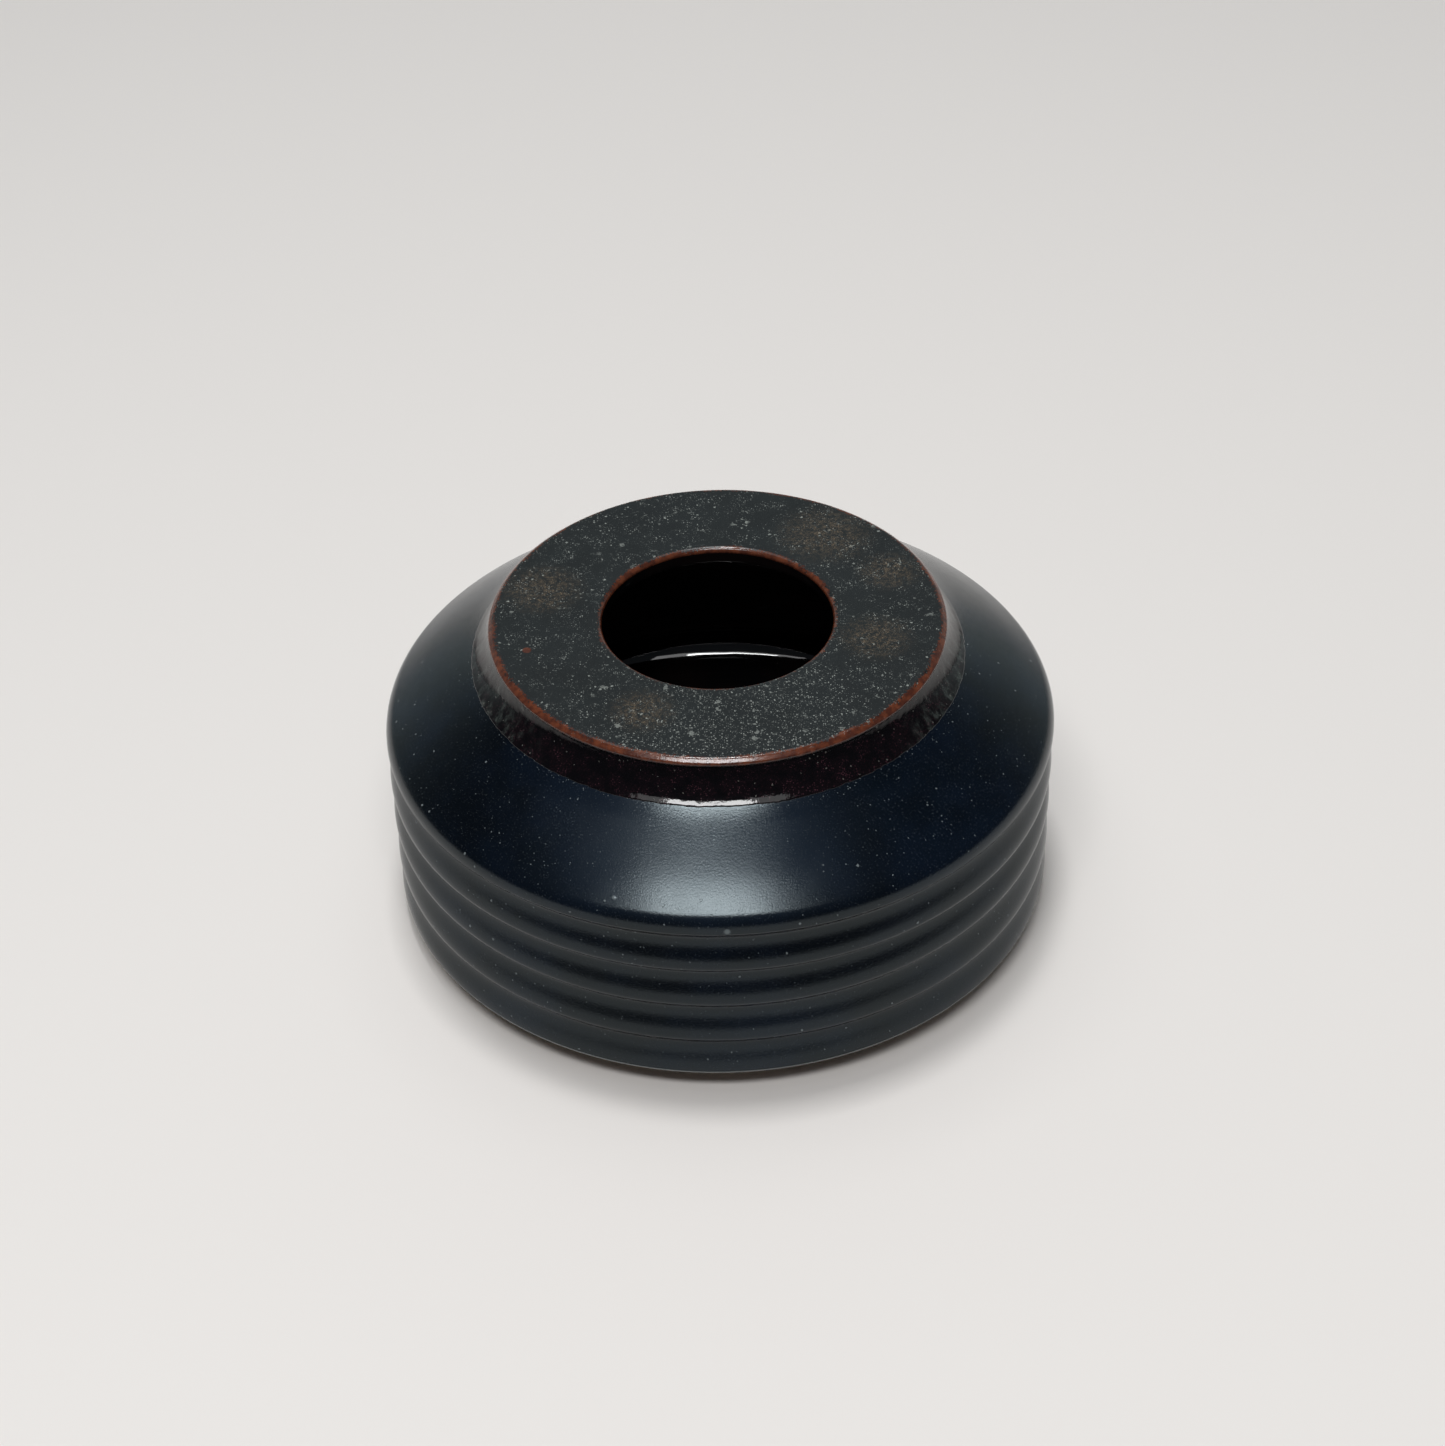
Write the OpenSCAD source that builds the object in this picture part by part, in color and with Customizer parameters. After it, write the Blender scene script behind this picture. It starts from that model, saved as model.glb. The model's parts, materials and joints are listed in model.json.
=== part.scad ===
// Squat stoneware candle vessel: ribbed drum on a recessed foot, sloping shoulder,
// short hollow-curved neck and a flat pierced top plate, with its glaze coats.
// Millimetres, +Z up. The origin is on the turning axis, in the plane of the table.

/* [Body] */
// Diameter at the widest edge, where the wall turns into the shoulder
body_d = 120; // [112:1:124]
// Full height from the table to the top plate
total_h = 58; // [57:0.5:60]
// Height of the widest edge above the table
edge_h = 37.3; // [37:0.1:38]
// Radius that rounds the widest edge
edge_round = 4; // [3:0.5:5]
// Slope of the shoulder above the horizontal, in degrees
shoulder_slope = 36; // [35:0.5:37]

/* [Rolls] */
// Number of horizontal rolls that run round the wall
roll_count = 4; // [3:1:4]
// Height from the crest of one roll to the next
roll_pitch = 7.95; // [7.8:0.05:8.1]
// Depth of the groove between rolls
groove_depth = 1.7; // [1.4:0.1:1.9]
// Height of the short flank that falls from each crest into its groove
flank_h = 2.2; // [2.1:0.05:2.4]
// Radius that eases the short flank into crest and groove
flank_ease = 0.8; // [0.65:0.05:0.95]
// Radius that eases each roll's long face into groove and crest
face_ease = 4.6; // [3.6:0.1:5]

/* [Neck and top plate] */
// Diameter where the neck's hollow curve leaves the shoulder
neck_root_d = 87.6; // [86:0.2:89]
// Radius of the neck's hollow curve
neck_curve = 12.5; // [12:0.5:13.5]
// Height of the line where the gloss glaze stops on the neck
glaze_line_h = 51.8; // [50.8:0.1:52.5]
// Outside diameter of the top plate
plate_d = 80.8; // [80:0.2:82]
// Thickness of the top plate, glaze included
plate_t = 3.5; // [3.2:0.1:4]
// Radius of the half-round nose on the plate's outer edge
nose_r = 0.9; // [0.8:0.1:1.1]
// Clear diameter of the mouth
mouth_d = 40.8; // [36:0.2:46]
// Radius that rounds both edges of the mouth
lip_round = 1; // [0.8:0.1:1.2]

/* [Inside] */
// Inside diameter of the drum
cavity_d = 108; // [106:0.5:109]
// Height of the inside floor above the table
floor_h = 8; // [6:0.1:8.4]
// Radius between the floor and the wall
floor_fillet = 10; // [6:1:14]
// Radius under the widest edge, between wall and shoulder
knee_round = 6; // [4:1:8]
// Wall thickness through the shoulder
shoulder_t = 5; // [4:0.25:5.5]
// Inside diameter of the neck
neck_bore_d = 71; // [68:0.5:72]

/* [Underside] */
// Outside diameter of the foot ring
foot_d = 97; // [90:1:98]
// Width of the foot ring where it stands on the table
foot_w = 4; // [3:0.5:5]
// Depth of the recess inside the foot ring
recess_h = 2.4; // [2:0.1:2.6]
// Height of the underside where it meets the foot ring
skirt_h = 3.6; // [3:0.1:3.8]

/* [Glaze] */
// Thickness of every glaze coat
glaze_t = 0.4; // [0.3:0.05:0.5]
// Width of the iron-brown band on the plate's outer edge
edge_break_w = 1.3; // [1.1:0.1:2]
// Width of the iron-brown band round the mouth
mouth_break_w = 1.2; // [1.1:0.1:2]

/* [Hidden] */
$fn = 128;
body_r = body_d / 2;
plate_r = plate_d / 2;
mouth_r = mouth_d / 2;
cavity_r = cavity_d / 2;
neck_bore_r = neck_bore_d / 2;
neck_root_r = neck_root_d / 2;
foot_r = foot_d / 2;
under_h = total_h - plate_t;
// outward normal of the sloping shoulder
normal_r = sin(shoulder_slope);
normal_z = cos(shoulder_slope);
edge_c = [body_r - edge_round, edge_h];
// the neck's hollow curve is a circle that touches the shoulder's slope
root_run = (edge_c[0] + edge_round * normal_r - neck_root_r) / normal_z;
root = [neck_root_r, edge_c[1] + edge_round * normal_z + root_run * normal_r];
neck_c = root + neck_curve * [normal_r, normal_z];
groove_r = body_r - groove_depth;
hem_h = edge_h - roll_count * roll_pitch;
face_h = roll_pitch - flank_h;
flank_lean = lean(flank_h, flank_ease);
face_lean = lean(face_h, face_ease);
hem = [body_r - flank_ease, hem_h - flank_ease];
// each easing runs this far past its straight face, so that the two always cross
bite = 0.002;
nose_c = [plate_r - nose_r, total_h - nose_r];
lip_r = mouth_r + lip_round;
fillet_c = [cavity_r - floor_fillet, floor_h + floor_fillet];
// the knee circle touches the wall and the shoulder's inner face
knee_r = cavity_r - knee_round;
inner_reach = edge_round - shoulder_t - knee_round;
knee_h = edge_c[1] + inner_reach * normal_z
    + (edge_c[0] + inner_reach * normal_r - knee_r) * tan(shoulder_slope);
knee_c = [knee_r, knee_h];
// lute joints: stepped laps, and tongues that stand in grooves
tongue_w = 1.2;
tongue_h = 1.5;
lap_w = 0.8;
foot_in_r = foot_r - foot_w - 0.8;
foot_tongue_r = foot_r - foot_w / 2;
base_seam_r = foot_r + 2;
base_lap_h = floor_h - glaze_t;
wall_seam_h = edge_h - 6;
wall_tongue_r = (cavity_r + groove_r) / 2;
neck_seam_r = neck_root_r - 1.5;
neck_lap_h = root[1] - 2;
plate_seam_h = under_h + glaze_t;
plate_tongue_r = neck_bore_r + 2.2;
plate_tongue_h = 1;
far = 2 * body_r;

// ---- half sections, x is the radius and y is the height ----

// Half plane of everything inside radius r between two heights.
module band(z0, z1, r0 = 0, r1 = far) {
    translate([r0, z0])
        square([r1 - r0, z1 - z0]);
}

// Lean of the straight run between two equal easings on a face of the given height.
function lean(h, ease) =
    let (run = 2 * ease - groove_depth)
        atan2(h, run) - acos(2 * ease / norm([run, h]));

// Point where a face leaves the easing of the crest at height h.
function crest_point(h, side, ease, a, s) =
    [body_r - ease + (ease - s) * cos(a), h + side * (ease - s) * sin(a)];

// Point where a face leaves the easing of the groove at height h.
function groove_point(h, side, ease, a, s) =
    [groove_r + ease - (ease + s) * cos(a), h + side * (ease + s) * sin(a)];

// Corners of one roll, from the crest at height h to the next crest above.
function roll_points(h, s) = [
    crest_point(h, 1, face_ease, face_lean, s),
    groove_point(h + face_h, -1, face_ease, face_lean, s),
    groove_point(h + face_h, 1, flank_ease, flank_lean, s),
    crest_point(h + roll_pitch, -1, flank_ease, flank_lean, s),
];

// Half of a disc, above its centre for side 1 and below it for side -1.
module half_disc(c, r, side) {
    intersection() {
        translate(c)
            circle(r = r + bite);
        band(c[1] + min(0, side * far), c[1] + max(0, side * far));
    }
}

// Outside of the pot drawn solid, shrunk by s below every glazed face.
module outer_section(s) {
    slope_top = root + [s * -normal_r, s * -normal_z];
    slope_foot = edge_c + (edge_round - s) * [normal_r, normal_z];
    difference() {
        union() {
            polygon([
                [0, recess_h],
                [foot_in_r, recess_h],
                [foot_r, skirt_h],
                hem,
                [hem[0], hem_h],
                for (i = [roll_count : -1 : 1])
                    each roll_points(edge_h - i * roll_pitch, s),
                [hem[0], edge_h],
                edge_c,
                slope_foot,
                slope_top,
                [slope_top[0], total_h - nose_r],
                [0, total_h - nose_r],
            ]);
            half_disc(edge_c, edge_round - s, 1);
            for (i = [1 : roll_count])
                half_disc([body_r - face_ease, edge_h - i * roll_pitch], face_ease - s, 1);
            for (i = [0 : roll_count])
                half_disc([body_r - flank_ease, edge_h - i * roll_pitch], flank_ease - s, -1);
        }
        for (i = [1 : roll_count]) {
            groove_h = edge_h - i * roll_pitch + face_h;
            half_disc([groove_r + face_ease, groove_h], face_ease + s, -1);
            half_disc([groove_r + flank_ease, groove_h], flank_ease + s, 1);
        }
        translate(neck_c)
            circle(r = neck_curve + s);
        band(neck_c[1], far, nose_c[0]);
    }
    band(under_h, total_h - s, 0, nose_c[0]);
    translate(nose_c)
        circle(r = nose_r - s);
}

// Hollow of the pot without its mouth, grown by g behind the glaze.
module hollow_section(g) {
    reach = edge_round - shoulder_t + g;
    knee_top = knee_c + (knee_round + g) * [normal_r, normal_z];
    slope_run = (knee_top[0] - neck_bore_r - g) / normal_z;
    polygon([
        [0, floor_h - g],
        [fillet_c[0], floor_h - g],
        [cavity_r + g, fillet_c[1]],
        [cavity_r + g, knee_c[1]],
        knee_top,
        [neck_bore_r + g, knee_top[1] + slope_run * normal_r],
        [neck_bore_r + g, under_h + g],
        [0, under_h + g],
    ]);
    translate(fillet_c)
        circle(r = floor_fillet + g);
    translate(knee_c)
        circle(r = knee_round + g);
}

// Clearance of the mouth, with both of its edges rounded.
module mouth_section(g) {
    difference() {
        band(under_h - 1, total_h + 1, 0, lip_r);
        band(under_h + lip_round, total_h - lip_round, mouth_r + g);
        translate([lip_r, total_h - lip_round])
            circle(r = lip_round - g);
        translate([lip_r, under_h + lip_round])
            circle(r = lip_round - g);
    }
}

// Everything of the pot that lies inside the surface s below the glaze.
module pot_section(s) {
    difference() {
        outer_section(s);
        hollow_section(s);
        mouth_section(s);
    }
}

// Clay of the pot, which the joints below divide into its members.
module clay_section() {
    pot_section(glaze_t);
}

// Glaze on the outside between two heights.
module outer_coat(z0, z1) {
    intersection() {
        difference() {
            outer_section(0);
            outer_section(glaze_t);
        }
        band(z0, z1, neck_bore_r);
    }
}

// Glaze on the top plate between two radii, down to height z0.
module top_coat(z0, r0, r1) {
    intersection() {
        difference() {
            pot_section(0);
            pot_section(glaze_t);
        }
        band(z0, far, r0, r1);
    }
}

// Tongue of width tongue_w, centred on radius r.
module tongue(r, z0, z1) {
    band(z0, z1, r - tongue_w / 2, r + tongue_w / 2);
}

// Section on the base's side of its lap under the wall.
module base_side() {
    band(0, base_lap_h, 0, base_seam_r);
    band(base_lap_h, wall_seam_h, 0, base_seam_r + lap_w);
}

// Section on the neck's side of its lap over the shoulder.
module neck_side() {
    band(wall_seam_h, neck_lap_h, 0, neck_seam_r);
    band(neck_lap_h, far, 0, neck_seam_r + lap_w);
}

// Ring that the pot stands on, with its tongue.
module foot_section() {
    polygon([
        [foot_in_r, recess_h],
        [foot_r - foot_w, 0.4],
        [foot_r - foot_w + 0.4, 0],
        [foot_r - 0.4, 0],
        [foot_r, 0.4],
        [foot_r, skirt_h],
    ]);
    tongue(foot_tongue_r, recess_h, skirt_h + tongue_h);
}

// ---- nodes: clay members ----

module foot_ring() {
    color([0.62, 0.55, 0.47])
        rotate_extrude()
            foot_section();
}

module base_disc() {
    color([0.66, 0.59, 0.51])
        rotate_extrude()
            difference() {
                intersection() {
                    clay_section();
                    base_side();
                }
                foot_section();
            }
}

module ribbed_wall() {
    color([0.6, 0.53, 0.46])
        rotate_extrude() {
            difference() {
                intersection() {
                    clay_section();
                    band(0, wall_seam_h, foot_r);
                }
                base_side();
            }
            tongue(wall_tongue_r, wall_seam_h, wall_seam_h + tongue_h);
        }
}

module shoulder_ring() {
    color([0.64, 0.57, 0.5])
        rotate_extrude()
            difference() {
                intersection() {
                    clay_section();
                    band(wall_seam_h, far, 0);
                }
                neck_side();
                tongue(wall_tongue_r, wall_seam_h, wall_seam_h + tongue_h);
            }
}

module neck_collar() {
    color([0.6, 0.53, 0.46])
        rotate_extrude() {
            intersection() {
                clay_section();
                neck_side();
                band(wall_seam_h, plate_seam_h, neck_bore_r);
            }
            tongue(plate_tongue_r, plate_seam_h, plate_seam_h + plate_tongue_h);
        }
}

module rim_plate() {
    color([0.66, 0.59, 0.51])
        rotate_extrude()
            difference() {
                intersection() {
                    clay_section();
                    band(plate_seam_h, far);
                }
                tongue(plate_tongue_r, plate_seam_h, plate_seam_h + plate_tongue_h);
            }
}

// ---- nodes: glaze coats ----

module satin_glaze_wall() {
    color([0.07, 0.08, 0.11])
        rotate_extrude()
            outer_coat(0, edge_h);
}

module satin_glaze_shoulder() {
    color([0.08, 0.09, 0.13])
        rotate_extrude()
            outer_coat(edge_h, glaze_line_h);
}

module gloss_glaze_neck() {
    color([0.1, 0.06, 0.06])
        rotate_extrude()
            outer_coat(glaze_line_h, nose_c[1] - nose_r / 2);
}

module speckled_glaze_rim() {
    color([0.15, 0.15, 0.15])
        rotate_extrude()
            top_coat(nose_c[1], mouth_r + mouth_break_w, plate_r - edge_break_w);
}

module rim_edge_break() {
    color([0.35, 0.16, 0.08])
        rotate_extrude()
            top_coat(nose_c[1] - nose_r / 2, plate_r - edge_break_w, far);
}

module mouth_edge_break() {
    color([0.33, 0.15, 0.08])
        rotate_extrude()
            top_coat(total_h - lip_round, 0, mouth_r + mouth_break_w);
}

module gloss_glaze_liner() {
    color([0.03, 0.03, 0.035])
        rotate_extrude()
            difference() {
                union() {
                    hollow_section(glaze_t);
                    intersection() {
                        mouth_section(glaze_t);
                        band(under_h, total_h - lip_round);
                    }
                }
                hollow_section(0);
                mouth_section(0);
            }
}

foot_ring();
base_disc();
ribbed_wall();
shoulder_ring();
neck_collar();
rim_plate();
satin_glaze_wall();
satin_glaze_shoulder();
gloss_glaze_neck();
speckled_glaze_rim();
rim_edge_break();
mouth_edge_break();
gloss_glaze_liner();
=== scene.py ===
"""Glazed stoneware candle vessel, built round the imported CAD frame.

Sizes are millimetres until a mesh is made, and then metres. Every surface is a section turned
about the Z axis on a slightly uneven wheel: one gentle field of unevenness bends all pieces alike,
so that glaze coats and clay members stay nested.
"""

import json
import math

import bmesh
import bpy
import numpy as np
from mathutils import Euler, Matrix, Vector


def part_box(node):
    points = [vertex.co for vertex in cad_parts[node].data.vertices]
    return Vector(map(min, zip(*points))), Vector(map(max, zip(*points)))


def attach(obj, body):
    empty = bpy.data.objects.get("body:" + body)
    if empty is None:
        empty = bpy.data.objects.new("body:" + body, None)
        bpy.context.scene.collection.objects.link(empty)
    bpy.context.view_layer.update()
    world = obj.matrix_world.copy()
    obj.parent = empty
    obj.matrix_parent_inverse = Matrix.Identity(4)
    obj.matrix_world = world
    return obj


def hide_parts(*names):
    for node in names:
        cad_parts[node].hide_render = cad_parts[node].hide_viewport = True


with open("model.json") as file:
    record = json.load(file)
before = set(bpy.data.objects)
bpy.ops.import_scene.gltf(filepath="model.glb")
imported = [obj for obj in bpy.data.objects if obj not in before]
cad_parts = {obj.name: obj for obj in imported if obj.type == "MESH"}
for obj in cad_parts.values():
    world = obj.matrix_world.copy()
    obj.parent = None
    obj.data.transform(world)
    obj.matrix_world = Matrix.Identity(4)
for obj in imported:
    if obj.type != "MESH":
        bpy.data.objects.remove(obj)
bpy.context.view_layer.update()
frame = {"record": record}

MM = 0.001
TINY = 1e-6


def low(node, axis):
    """Lowest coordinate of a CAD node on an axis, in millimetres."""
    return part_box(node)[0][axis] / MM


def high(node, axis):
    """Highest coordinate of a CAD node on an axis, in millimetres."""
    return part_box(node)[1][axis] / MM


def mount(name):
    """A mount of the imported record."""
    return next(m for m in frame["record"]["mounts"] if m["name"] == name)


# ---- driving sizes, in millimetres ----

X, Z = 0, 2
body_r = high("satin_glaze_wall", X)
edge_h = high("satin_glaze_wall", Z)
hem_low = low("satin_glaze_wall", Z)
glaze_line_h = low("gloss_glaze_neck", Z)
neck_top_h = high("gloss_glaze_neck", Z)
plate_r = high("rim_edge_break", X)
top_h = high("speckled_glaze_rim", Z)
speckle_r = high("speckled_glaze_rim", X)
mouth_break_r = high("mouth_edge_break", X)
mouth_r = mount("mouth")["dims"]["r_mm"]
foot_r = high("foot_ring", X)
recess_h = low("base_disc", Z)
wall_seam_h = low("shoulder_ring", Z)

GLAZE_T = 0.4
EDGE_ROUND = 4.0
SHOULDER_SLOPE = math.radians(36)
SLOPE_NORMAL = np.array([math.sin(SHOULDER_SLOPE), math.cos(SHOULDER_SLOPE)])
# how much steeper than its slope the shoulder is, in degrees, from its foot, 0, to the neck, 1
SHOULDER_LEANS = (
    (0, 2.2),
    (0.12, 1.2),
    (0.25, 0),
    (0.4, -1.6),
    (0.6, -2.4),
    (0.8, -2.2),
    (0.93, -0.8),
    (1, 0.8),
)
NECK_CURVE = 12.5
NECK_ROOT_R = 44.4

# nose of the plate: its two roundings, the facet between them, and how steeply the facet faces up
NOSE_LOW_R = 0.55
NOSE_TOP_R = 0.9
NOSE_FACET = 0.6
NOSE_LEAN = 50
NOSE_UNDER = -77
LIP_R = 1.0
PLATE_T = 3.5
HEM_ROUND = 0.8

# rolls of the wall: heights of their crests, and how deep the groove above each one is
CRESTS = (5.5, 13.2, 21.5, 29.4, 37.3)
GROOVE_DEPTHS = (1.45, 1.7, 1.75, 1.7)
FLANK_SHARE = 0.28

# the hollow; the knee is the rounding between its wall and the underside of the shoulder
CAVITY_R = 54.0
FLOOR_H = 8.0
FLOOR_FILLET = 10.0
KNEE_R = 6.0
KNEE = (48.0, 34.46)
NECK_BORE_R = 35.5
BORE_CORNER_R = 1

# members of clay, and the foot
BASE_SEAM_R = 50.5
BASE_RISE = 8
SEAM_GAP = 0.1
SEAM_SLACK = 1e-3
SKIRT_H = 3.6
SKIRT_SEAM_H = SKIRT_H + 0.2
HEM_SETBACK = 0.6
FOOT_W = 4.0
FOOT_IN_R = 43.7
FOOT_EDGE_R = 0.7
FOOT_TENON = 0.3
NECK_SEAM_H = 43.5
SHOULDER_TOP_H = 42
SHOULDER_IN_R = NECK_BORE_R + 2
TURNING_PITCH = 1.7
TURNING_DEPTH = 0.05

# gloss glaze's line on the neck: its drop below the CAD's line, its bead, and how ragged it is
LINE_DROP = 0.35
BEAD_REACH = 1.0
BEAD_AT = (0, 0.03, 0.08, 0.16, 0.28, 0.42)
BEAD_LIFT = (-0.06, 0.04, 0.08, 0.1, 0.1, 0.09)
NECK_LIFT = 0.05
LIFT_FADE = 6
RAGGED_REACH = 1.6
RAGGED_HEIGHT = 0.3
RAGGED_SEED = 11
RAGGED_TURNS = (3, 220, 3)
RAGGED_KNEE = 25
RAGGED_FALL = 0.75
LINE_LAP = 0.9

# unevenness of the wheel, as waves of a size, a number round the ware, a twist per millimetre of
# height, and a phase; the rolls rise and fall, which fades out at the hem, the edge and inside
RISE_WAVES = ((0.13, 1, 0, 0.9), (0.08, 2, 0.35, 1.3))
SWELL_WAVES = ((0.05, 2, 0, 0.5), (0.03, 3, 0.2, 0))
RISE_FADE_LOW = 6
RISE_FADE_HIGH = 5
RISE_FADE_IN = 3

# meshes: closeness of points along a section and round the axis
SAME_POINT = 1e-4
ARC_LEAST = 6
STEP = 0.42
FINE_STEP = STEP / 3
HEM_STEP = 0.2
INNER_STEP = 0.6
FLAT_STEP = 1
SEGMENTS = 720
CLAY_SEGMENTS = 360
SHARP_ANGLE = math.radians(38)


# ---- sections: arrays of (radius, height) ----


def line(a, b, step=STEP):
    """Evenly spaced points from a to b."""
    a, b = np.array(a, float), np.array(b, float)
    n = max(1, math.ceil(np.linalg.norm(b - a) / step))
    t = np.linspace(0, 1, n + 1)[:, None]
    return a + (b - a) * t


def arc(centre, radius, start, end, step=STEP):
    """Evenly spaced points on an arc, with angles in degrees."""
    n = max(ARC_LEAST, math.ceil(abs(math.radians(end - start)) * radius / step))
    t = np.radians(np.linspace(start, end, n + 1))
    return np.stack([centre[0] + radius * np.cos(t), centre[1] + radius * np.sin(t)], 1)


def join(*parts):
    """One path from several that follow on, without repeated points."""
    path = np.concatenate(parts)
    gap = np.linalg.norm(np.diff(path, axis=0), axis=1)
    return path[np.concatenate([[True], gap > SAME_POINT])]


def inset(path, depth):
    """The path moved by depth to the side that lies on its left, which is inside the ware."""
    tangent = np.gradient(path, axis=0)
    tangent /= np.linalg.norm(tangent, axis=1)[:, None]
    return path + depth * np.stack([-tangent[:, 1], tangent[:, 0]], 1)


def groove_shape(u):
    """Depth of a groove from the crest above it, u = 0, to the crest below it, u = 1."""
    flank = (1 - np.cos(np.pi * u / FLANK_SHARE)) / 2
    face = (1 + np.cos(np.pi * (u - FLANK_SHARE) / (1 - FLANK_SHARE))) / 2
    return np.where(u < FLANK_SHARE, flank, face)


def wall_path():
    """Rolls of the wall, from the lowest crest to the widest edge."""
    rolls = []
    for crest, above, depth in zip(CRESTS[:-1], CRESTS[1:], GROOVE_DEPTHS):
        z = line((0, crest), (0, above))[:, 1]
        u = (above - z) / (above - crest)
        rolls.append(np.stack([body_r - depth * groove_shape(u), z], 1))
    return join(*rolls)


def shoulder_path():
    """Rounded widest edge, and the shoulder up to the foot of the neck."""
    along = np.array([-SLOPE_NORMAL[1], SLOPE_NORMAL[0]])
    centre = np.array([body_r - EDGE_ROUND, edge_h])
    foot = centre + EDGE_ROUND * SLOPE_NORMAL
    run = (foot[0] - NECK_ROOT_R) / SLOPE_NORMAL[1]
    t = np.linspace(0, 1, math.ceil(run / STEP) + 1)[:, None]
    lean = np.radians(np.interp(t[:, 0], *np.array(SHOULDER_LEANS).T))
    swell = np.cumsum(np.tan(lean)) * run / len(t)
    slope = foot + run * t * along + (swell - swell[0])[:, None] * SLOPE_NORMAL
    edge = arc(centre, EDGE_ROUND, 0, 90 - math.degrees(SHOULDER_SLOPE))
    return join(edge, slope)


def neck_path():
    """Hollow curve of the neck, from the shoulder up to the plate's nose."""
    root = shoulder_path()[-1]
    centre = root + NECK_CURVE * SLOPE_NORMAL
    nose_low = nose_path()[0, 1]
    end = 180 + math.degrees(math.asin((centre[1] - nose_low) / NECK_CURVE))
    start = 270 - math.degrees(SHOULDER_SLOPE)
    return arc(centre, NECK_CURVE, start, end, STEP / 2)


def nose_path():
    """Nose on the plate's outer edge: a small rounding, a narrow facet and a wider rounding."""
    lean = math.radians(NOSE_LEAN)
    normal = np.array([math.cos(lean), math.sin(lean)])
    along = np.array([-normal[1], normal[0]])
    low_h = top_h - NOSE_TOP_R - NOSE_FACET * along[1] + (NOSE_TOP_R - NOSE_LOW_R) * normal[1]
    low_centre = np.array([plate_r - NOSE_LOW_R, low_h])
    facet = low_centre + NOSE_LOW_R * normal
    top_centre = facet + NOSE_FACET * along - NOSE_TOP_R * normal
    return join(
        arc(low_centre, NOSE_LOW_R, NOSE_UNDER, NOSE_LEAN, FINE_STEP),
        line(facet, facet + NOSE_FACET * along, FINE_STEP),
        arc(top_centre, NOSE_TOP_R, NOSE_LEAN, 90, FINE_STEP),
    )


def lip_path():
    """Rounded edge of the mouth, from the top plate to the bore."""
    return arc((mouth_r + LIP_R, top_h - LIP_R), LIP_R, 90, 180, STEP / 2)


def inner_path():
    """Inside of the vessel, from the mouth's bore down to the middle of the floor."""
    under_h = top_h - PLATE_T
    knee_top = np.array(KNEE) + KNEE_R * SLOPE_NORMAL
    slope_h = knee_top[1] + (knee_top[0] - NECK_BORE_R) * math.tan(SHOULDER_SLOPE)
    corner = np.array([NECK_BORE_R - BORE_CORNER_R, under_h - BORE_CORNER_R])
    fillet = np.array([CAVITY_R - FLOOR_FILLET, FLOOR_H + FLOOR_FILLET])
    return join(
        line((mouth_r, top_h - LIP_R), (mouth_r, under_h + LIP_R)),
        arc((mouth_r + LIP_R, under_h + LIP_R), LIP_R, 180, 270),
        line((mouth_r + LIP_R, under_h), (corner[0], under_h), FLAT_STEP),
        arc(corner, BORE_CORNER_R, 90, 0),
        line((NECK_BORE_R, corner[1]), (NECK_BORE_R, slope_h), FLAT_STEP),
        line((NECK_BORE_R, slope_h), knee_top, FLAT_STEP),
        arc(KNEE, KNEE_R, 90 - math.degrees(SHOULDER_SLOPE), 0, INNER_STEP),
        line((CAVITY_R, KNEE[1]), (CAVITY_R, fillet[1]), INNER_STEP),
        arc(fillet, FLOOR_FILLET, 0, -90, INNER_STEP),
        line((fillet[0], FLOOR_H), (0, FLOOR_H), FLAT_STEP),
    )


def clay_inside():
    """The clay's own inside, behind the liner glaze."""
    return inset(inner_path(), GLAZE_T)


def between(path, z0=-math.inf, z1=math.inf, r0=-math.inf, r1=math.inf):
    """The points of a path inside the given heights and radii."""
    r, z = path[:, 0], path[:, 1]
    return path[(z >= z0 - TINY) & (z <= z1 + TINY) & (r >= r0 - TINY) & (r <= r1 + TINY)]


# ---- meshes ----


def uneven(r, z, theta):
    """Unevenness of the wheel: small shifts of radius and height at a place on the ware."""
    wall = np.clip((z - hem_low) / RISE_FADE_LOW, 0, 1)
    wall = wall * np.clip((edge_h - z) / RISE_FADE_HIGH, 0, 1)
    wall = wall * np.clip((r - CAVITY_R) / RISE_FADE_IN, 0, 1)
    rise, swell = (
        sum(size * np.sin(turns * theta + twist * z + phase) for size, turns, twist, phase in waves)
        for waves in (RISE_WAVES, SWELL_WAVES)
    )
    return r + swell * np.clip(r / body_r, 0, 1), z + rise * wall


def mesh_object(name, verts, faces):
    """A smooth-shaded object from vertices in millimetres."""
    mesh = bpy.data.meshes.new(name)
    mesh.from_pydata((np.asarray(verts) * MM).tolist(), [], faces)
    mesh.validate()
    whole = bmesh.new()
    whole.from_mesh(mesh)
    bmesh.ops.recalc_face_normals(whole, faces=whole.faces)
    whole.to_mesh(mesh)
    whole.free()
    mesh.shade_smooth()
    mesh.set_sharp_from_angle(angle=SHARP_ANGLE)
    piece = bpy.data.objects.new(name, mesh)
    bpy.context.scene.collection.objects.link(piece)
    return piece


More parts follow.
